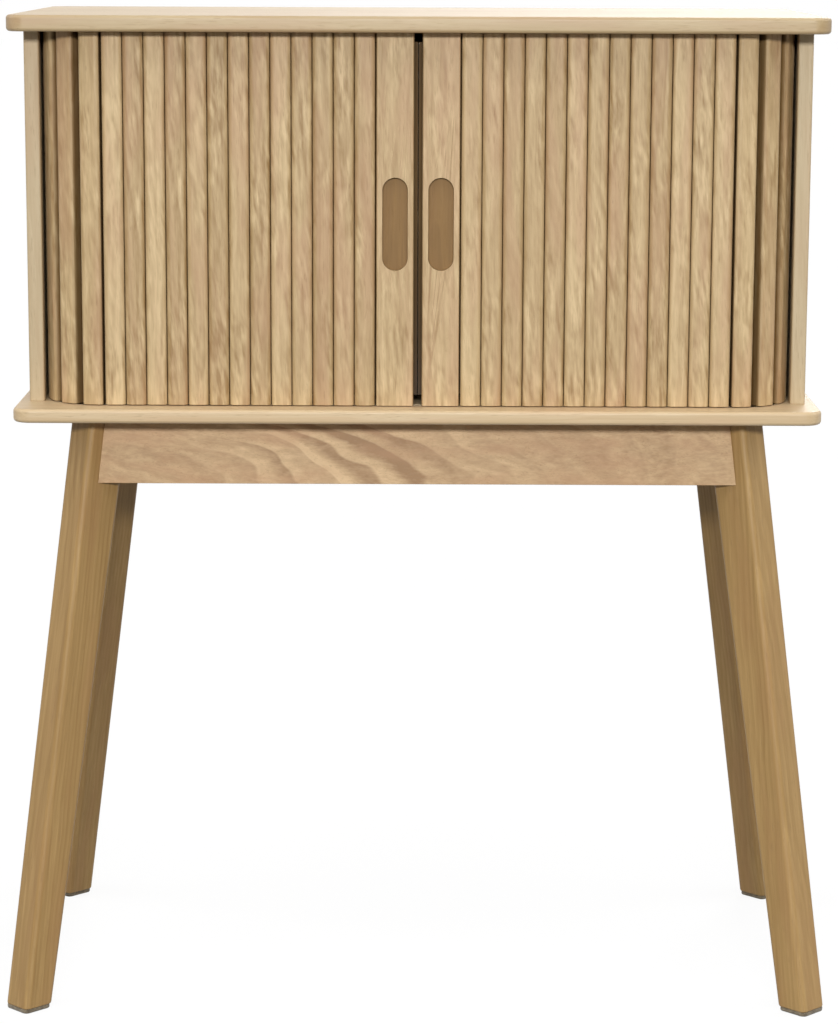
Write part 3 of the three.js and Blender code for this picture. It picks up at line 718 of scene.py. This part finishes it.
def slat_section():
    """The section seen from above, anticlockwise. Each front edge is the front part of an ellipse, from
    t = start to a quarter turn: x = half + swell - width (1 - cos t / cos start),
    y = front + depth (1 - sin t) / (1 - sin start). Behind it the side stays swollen and then runs in to
    the frame's half width."""
    t = np.linspace(SLAT_EDGE_START, math.pi / 2, 10)
    front = -back_offset - slat_thickness
    arc_x = slat_half + SLAT_SWELL - SLAT_EDGE_WIDTH * (1 - np.cos(t) / math.cos(SLAT_EDGE_START))
    arc_y = front + SLAT_EDGE_DEPTH * (1 - np.sin(t)) / (1 - math.sin(SLAT_EDGE_START))
    back_x = slat_half + np.array([SLAT_SWELL, SLAT_SWELL / 2, 0, 0, -SLAT_BACK_EDGE])
    back_y = np.array([*(front + depth for depth in SLAT_SWELL_DEPTHS), -back_offset - SLAT_BACK_EDGE,
                       -back_offset])
    x = np.concatenate([-arc_x, arc_x[::-1], back_x, -back_x[::-1]])
    y = np.concatenate([arc_y, arc_y[::-1], back_y, back_y[::-1]])
    return np.stack([x, y], 1)


def tongue_section(section):
    """A rounded rectangle with a point for each point of the bar's section, at the same bearing from its
    middle: x = a |cos|^0.3, y = b |sin|^0.3 with the signs of cos and sin."""
    middle = np.array([0, -back_offset - slat_thickness / 2])
    bearing = np.arctan2(section[:, 1] - middle[1], section[:, 0] - middle[0])
    c, s = np.cos(bearing), np.sin(bearing)
    x = TONGUE_WIDTH / 2 * np.sign(c) * np.abs(c) ** 0.3
    y = TONGUE_THICKNESS / 2 * np.sign(s) * np.abs(s) ** 0.3
    return np.stack([x, y - back_offset - TONGUE_INSET - TONGUE_THICKNESS / 2], 1)


# %% The slat's surface


def slat_rings(tongue_bottom, tongue_top):
    """Rings of points from the lower tongue's end to the upper one's, in the slat's own mm."""
    bar, tongue = slat_section(), tongue_section(slat_section())
    middle = np.array([0, -back_offset - slat_thickness / 2])
    eased = middle + (bar - middle) * (1 - END_CHAMFER / slat_half)
    stack = [
        (tongue, tongue_bottom), (tongue, bar_bottom), (eased, bar_bottom), (bar, bar_bottom + END_CHAMFER),
        (bar, bar_top - END_CHAMFER), (eased, bar_top), (tongue, bar_top), (tongue, tongue_top),
    ]
    return np.array([np.column_stack([section, np.full(len(section), z)]) for section, z in stack])


def skin(rings):
    """Points and faces of a closed skin: quads between neighbouring rings, and a flat cap on each end."""
    count, around = rings.shape[:2]
    corner = np.arange(count * around).reshape(count, around)
    low, high = corner[:-1], corner[1:]
    quads = np.stack([low, np.roll(low, -1, 1), np.roll(high, -1, 1), high], -1).reshape(-1, 4)
    return rings.reshape(-1, 3), [*quads.tolist(), corner[0, ::-1].tolist(), corner[-1].tolist()]


# %% A piece from its points


def new_piece(name, points_mm, faces, place_mm, stick, material, body):
    """A mesh object at the origin from points in mm, with its own place and stick number as attributes."""
    mesh = bpy.data.meshes.new(name)
    mesh.from_pydata((points_mm * MM).tolist(), [], faces)
    mesh.attributes.new("place", "FLOAT_VECTOR", "POINT").data.foreach_set(
        "vector", (place_mm * MM).astype(np.float32).ravel())
    mesh.attributes.new("stick", "FLOAT", "POINT").data.foreach_set(
        "value", np.full(len(points_mm), stick, np.float32))
    mesh.shade_smooth()
    mesh.materials.append(material)
    piece = bpy.data.objects.new(name, mesh)
    bpy.context.scene.collection.objects.link(piece)
    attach(piece, body)
    return piece


def moved(points, x, y, turn, sign):
    """Points turned about Z and moved to a place on the pitch line, for the right door or the left."""
    c, s = math.cos(sign * turn), math.sin(sign * turn)
    across = points[:, 0] * c - points[:, 1] * s + sign * x
    back = points[:, 0] * s + points[:, 1] * c + y
    return np.column_stack([across, back, points[:, 2]])


# %% Make the slats of both doors
RIGHT_STICKS_FROM = 20

own, faces = skin(slat_rings(slat_low[2], slat_high[2]))
own_middle = np.array([0, 0, (slat_low[2] + slat_high[2]) / 2])
largest = 0.0
for side, sign in (("left", -1), ("right", 1)):
    for number in range(1, SLATS + 1):
        name = f"{side}_slat_{number:02d}"
        body = f"{side}_door" if number <= DOOR_BODY_SLATS else name
        x, y, turn = on_pitch_line(first_middle + (number - 1) * pitch - bend_x)
        points = moved(own, x, y, turn, sign)
        stick = number + (RIGHT_STICKS_FROM if sign > 0 else 0)
        slat = new_piece(name + "_oak", points, faces, own - own_middle, stick, door_oak, body)
        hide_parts(name)
        slat.modifiers.new("flat shading", "WEIGHTED_NORMAL").weight = 100
        low, high = box_mm(name)
        gap = max(np.abs(points.min(0) - low).max(), np.abs(points.max(0) - high).max())
        largest = max(largest, gap)
print("slats:", 2 * SLATS, "with", len(faces), "faces each; largest gap to the frame's boxes:",
      round(largest, 3), "mm")

# %% [markdown]
# ## The stiles
#
# The lead piece of each door is a wider stick with a shallow recess for the fingertips, milled with a
# round cutter, so its ends are half circles. The frame has that shape already. What it lacks is the
# slat's own coordinates for the grain, so the stile is a copy of the frame's mesh with its doubles
# merged, and the same eased edges as the boards.

# %% Copy the stiles


def merged_copy(node):
    """A mesh with the node's shape: its loose triangles welded and its flat faces made whole."""
    bm = bmesh.new()
    bm.from_mesh(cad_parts[node].data)
    bmesh.ops.remove_doubles(bm, verts=bm.verts, dist=0.005 * MM)
    bmesh.ops.dissolve_limit(bm, angle_limit=math.radians(0.5), verts=bm.verts, edges=bm.edges)
    points = np.array([v.co for v in bm.verts]) / MM
    corner = {v: i for i, v in enumerate(bm.verts)}
    faces = [[corner[v] for v in face.verts] for face in bm.faces]
    bm.free()
    return points, faces


RECESS_EASE = 0.9
RECESS_FROM = 0.3
RECESS_WITHIN = 1.0
STILE_STICKS = {"left": 61, "right": 64}

for side, stick in STILE_STICKS.items():
    node = side + "_door_stile"
    low, high = box_mm(node)
    points, faces = merged_copy(node)
    middle = (low + high) / 2
    place = points - (middle[0], pitch_y, middle[2])
    stile = new_piece(node + "_oak", points, faces, place, stick, door_oak, side + "_door")
    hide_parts(node)
    # The faces inside the recess take the darker oak, whose colour is painted shade.
    stile.data.materials.append(recess_shade_oak)
    recess = points[:, 1] > low[1] + RECESS_FROM
    recess &= np.abs(points[:, 0] - middle[0]) < (high[0] - low[0]) / 2 - RECESS_WITHIN
    recess &= points[:, 1] < high[1] - RECESS_WITHIN
    stile.data.polygons.foreach_set("material_index", [int(recess[face].all()) for face in faces])
    ease(stile, RECESS_EASE, weld=False)
    print(node, "is", round(high[0] - low[0], 1), "mm wide")

# %% [markdown]
# ## The canvas
#
# Heavy cotton canvas is glued over the backs of the slats. It shows as a dark line in each gap, and from
# inside the cabinet. One sheet could bend over all the slats, but in motion each slat round the bend
# turns by itself. So the part over the stile and the first slats is one sheet, and behind each further
# slat rides its own strip, cut to the slats' pitch. The sheet reaches past its stile, almost to the middle
# of the closed doors, so that the joint between them shows brown cloth and not the dark inside.

# %% Canvas material
THREAD_MM = 1.1


def canvas_cotton():
    """Plain weave: over-and-under is the product of two sine waves, one thread spacing wide each way.
    Real duck has two threads a millimetre, drawn about half as fine here, so that it can show."""
    material = bpy.data.materials.new("cotton_canvas")
    material.use_nodes = True
    tree = material.node_tree
    shader = tree.nodes["Principled BSDF"]
    place = own_place(tree)[0]
    turns = add(tree, "VectorMath", {0: place, "Scale": math.pi / (THREAD_MM * MM)}, operation="SCALE")
    waves = add(tree, "VectorMath", {0: turns}, operation="SINE")
    waves = add(tree, "SeparateXYZ", {0: waves}).node.outputs
    weave = add(tree, "Math", {0: waves[0], 1: waves[2]}, operation="MULTIPLY")
    lift = add(tree, "Math", {0: weave, 1: 0.5, 2: 0.5}, operation="MULTIPLY_ADD")
    slub = add(tree, "TexNoise", {"Vector": stretched(tree, place, 3, 30), "Scale": 1.0})
    share = add(tree, "Math", {0: slub, 1: 0.5, 2: lift}, operation="MULTIPLY_ADD", use_clamp=True)
    colour = add(tree, "Mix", {MIX_FACTOR: share, MIX_A: linear("#3f2d15"), MIX_B: linear("#664c27")},
                 out=MIX_RESULT, data_type="RGBA")
    tree.links.new(colour, shader.inputs["Base Color"])
    bump = add(tree, "Bump", {"Height": lift, "Strength": 0.8, "Distance": 0.3 * MM})
    tree.links.new(bump, shader.inputs["Normal"])
    shader.inputs["Roughness"].default_value = 0.95
    shader.inputs["Sheen Weight"].default_value = 0.3
    return material


canvas = canvas_cotton()

# %% Canvas sheets and strips
MEETING_LIP = 0.4
STRIP_GAP = 0.3

canvas_low = box_mm("right_canvas")[0][2]
canvas_high = box_mm("right_canvas")[1][2]


def canvas_piece(name, start, end, place, sign, body, body_slat):
    """A cloth from start to end across, in the slat's own mm, set at a place on the pitch line behind a
    slat. Its section is a long round-ended loop: half circles of the cloth's thickness at both ends."""
    t = np.linspace(-math.pi / 2, math.pi / 2, 7)
    r = CANVAS_THICKNESS / 2
    x = np.concatenate([end - r + r * np.cos(t), start + r - r * np.cos(t)])
    y = np.concatenate([r * np.sin(t), -r * np.sin(t)])
    rings = np.array([np.column_stack([x, y, np.full(len(x), z)]) for z in (canvas_low, canvas_high)])
    own, faces = skin(rings)
    piece = new_piece(name, moved(own, *place, sign), faces, own, 0, canvas, body)
    return piece


cell_end = first_middle + (DOOR_BODY_SLATS - 0.5) * pitch
strip_half = (pitch - STRIP_GAP) / 2
for side, sign in (("left", -1), ("right", 1)):
    ends = sorted((sign * MEETING_LIP, sign * (cell_end - STRIP_GAP / 2)))
    sheet = canvas_piece(side + "_canvas_sheet", *ends, (0, pitch_y, 0), sign, side + "_door",
                         side + "_slat_01_oak")
    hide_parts(side + "_canvas")
    for number in range(DOOR_BODY_SLATS + 1, SLATS + 1):
        slat = f"{side}_slat_{number:02d}"
        place = on_pitch_line(first_middle + (number - 1) * pitch - bend_x)
        canvas_piece(f"{side}_canvas_strip_{number:02d}", -strip_half, strip_half, place, sign, slat,
                     slat + "_oak")

# %% [markdown]
# ## The felt under the feet
#
# A pressed wool felt pad keeps a leg from scratching the floor. It is cut to the foot's outline, and the
# weight of the cabinet squeezes it, so its edge bulges a little and is not quite even. The outline comes
# from the frame's pad, and a profile of insets carries it up through the thickness.

# %% Felt material
FIBRE_MM = 0.7
CLUMP_MM = 5.0


def wool_felt():
    """Pressed felt: a fine tangle of fibres, drawn as two sizes of noise in colour and in height."""
    material = bpy.data.materials.new("pressed_wool_felt")
    material.use_nodes = True
    tree = material.node_tree
    shader = tree.nodes["Principled BSDF"]
    place = add(tree, "TexCoord", out="Object")
    tangle = add(tree, "TexNoise", {"Vector": place, "Scale": 1 / (FIBRE_MM * MM), "Detail": 6.0})
    clumps = add(tree, "TexNoise", {"Vector": place, "Scale": 1 / (CLUMP_MM * MM)})
    share = add(tree, "Math", {0: tangle, 1: clumps}, operation="MULTIPLY")
    share = add(tree, "MapRange", {0: share, 1: 0.12, 2: 0.4}, **STEP)
    colour = add(tree, "Mix", {MIX_FACTOR: share, MIX_A: linear("#5d5242"), MIX_B: linear("#8d8069")},
                 out=MIX_RESULT, data_type="RGBA")
    tree.links.new(colour, shader.inputs["Base Color"])
    bump = add(tree, "Bump", {"Height": tangle, "Strength": 1.0, "Distance": 0.3 * MM})
    tree.links.new(bump, shader.inputs["Normal"])
    shader.inputs["Roughness"].default_value = 0.95
    shader.inputs["Sheen Weight"].default_value = 0.4
    return material


felt = wool_felt()

# %% Felt pads
PAD_POINTS = 64
PAD_UNEVEN = 0.15
PAD_PROFILE = (
    # (share of the thickness, inset from the outline)
    (0.0, 0.7), (0.12, 0.25), (0.35, 0.05), (0.6, 0.0), (0.85, 0.1), (1.0, 0.35),
)


def pad_outline(node):
    """The frame pad's outline as evenly spaced points, sorted by their bearing from the middle."""
    corners = np.array([v.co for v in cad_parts[node].data.vertices]) / MM
    plan = np.unique(np.round(corners[:, :2], 3), axis=0)
    middle = plan.mean(0)
    bearing = np.arctan2(*(plan - middle).T[::-1])
    plan = plan[np.argsort(bearing)]
    loop = np.vstack([plan, plan[:1]])
    length = np.concatenate([[0], np.cumsum(np.linalg.norm(np.diff(loop, axis=0), axis=1))])
    steps = np.linspace(0, length[-1], PAD_POINTS, endpoint=False)
    return np.column_stack([np.interp(steps, length, loop[:, i]) for i in (0, 1)]), middle


fibres = np.random.default_rng(4)
for end in ("front", "rear"):
    for side in ("left", "right"):
        node = f"{end}_{side}_foot_pad"
        low, high = box_mm(node)
        outline, middle = pad_outline(node)
        reach = np.linalg.norm(outline - middle, axis=1, keepdims=True)
        rings = []
        for share, inset in PAD_PROFILE:
            uneven = fibres.uniform(0, PAD_UNEVEN, (PAD_POINTS, 1))
            plan = middle + (outline - middle) * (1 - (inset + uneven) / reach)
            rings.append(np.column_stack([plan, np.full(PAD_POINTS, low[2] + share * (high[2] - low[2]))]))
        points, faces = skin(np.array(rings))
        pad = new_piece(node + "_felt", points, faces, points, 0, felt, "cabinet")
        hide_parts(node)
print("felt pads:", 4, "each", round(high[2] - low[2], 1), "mm thick")

# %% Finish
low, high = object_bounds()
